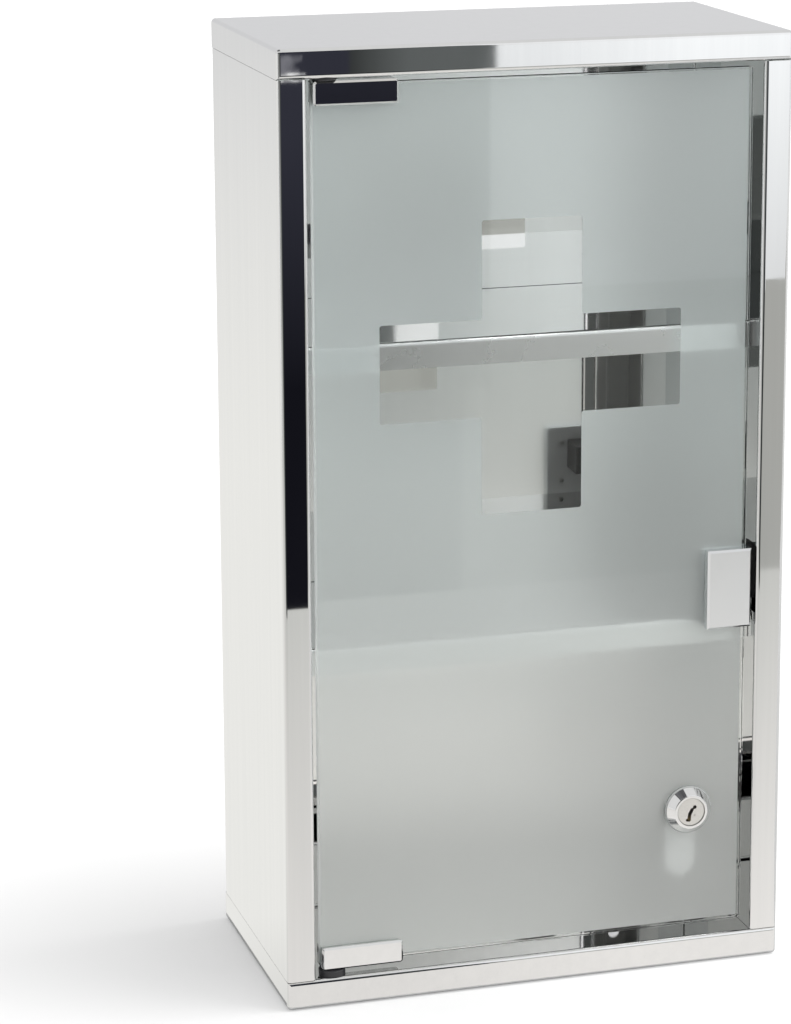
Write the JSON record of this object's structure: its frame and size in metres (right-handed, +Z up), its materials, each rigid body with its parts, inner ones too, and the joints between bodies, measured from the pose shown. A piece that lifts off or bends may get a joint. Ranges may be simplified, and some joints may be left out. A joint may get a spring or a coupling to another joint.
{
  "type": "medicine cabinet",
  "caption": "Wall-hung cabinet of polished steel sheet with open shelves behind a frosted glass door, which turns on pin hinges and shuts with a catch and a cam lock.",
  "frame": {"origin": "centre of the base, on the underside of the case", "axes": "+Z up along the height, -Y out of the door, +Y to the wall, +X to the right seen from the front"},
  "size_m": [0.25, 0.13, 0.46],
  "materials": {
    "polished_steel": "mirror-polished stainless sheet",
    "chrome_hardware": "bright chrome plate",
    "plug_metal": "satin nickel",
    "steel_parts": "zinc-plated steel",
    "brass_parts": "plain brass",
    "clear_glass": "clear float glass with eased edges",
    "frosting": "translucent frosted film",
    "black_plastic": "black nylon",
    "grey_rubber": "soft grey rubber",
    "magnet": "dark sintered ferrite"
  },
  "bodies": {
    "case": {"top_cap": "polished_steel", "bottom_cap": "polished_steel", "left_side_panel": "polished_steel", "right_side_panel": "polished_steel", "back_panel": "polished_steel", "back_panel_rivets": "steel_parts", "upper_shelf": "polished_steel", "lower_shelf": "polished_steel", "top_pivot_bush": "black_plastic", "bottom_pivot_bush": "black_plastic", "catch_housing": "black_plastic", "catch_pole_plates": "steel_parts", "catch_magnet": "magnet", "catch_screws": "steel_parts"},
    "door": {"door_glass": "clear_glass", "frost_film": "frosting", "top_hinge_clamp": "chrome_hardware", "bottom_hinge_clamp": "chrome_hardware", "top_hinge_pin": "steel_parts", "bottom_hinge_pin": "steel_parts", "hinge_pads": "grey_rubber", "hinge_grub_screws": "steel_parts", "handle_clip": "chrome_hardware", "handle_pads": "grey_rubber", "handle_set_screws": "steel_parts", "lock_body": "chrome_hardware", "lock_gaskets": "grey_rubber", "lock_nut": "steel_parts"},
    "lock": {"lock_plug": "plug_metal", "lock_wafers": "brass_parts", "lock_cam": "steel_parts", "cam_washer": "steel_parts", "cam_screw": "steel_parts"}
  },
  "joints": [
    {"name": "door_swing", "type": "hinge", "parent": "case", "child": "door", "pos_m": [-0.1013, -0.0575, 0.23], "axis": [0, 0, -1], "range_deg": [0, 110]},
    {"name": "lock_turn", "type": "hinge", "parent": "door", "child": "lock", "pos_m": [0.0792, -0.0575, 0.0784], "axis": [0, -1, 0], "range_deg": [0, 90]}
  ]
}
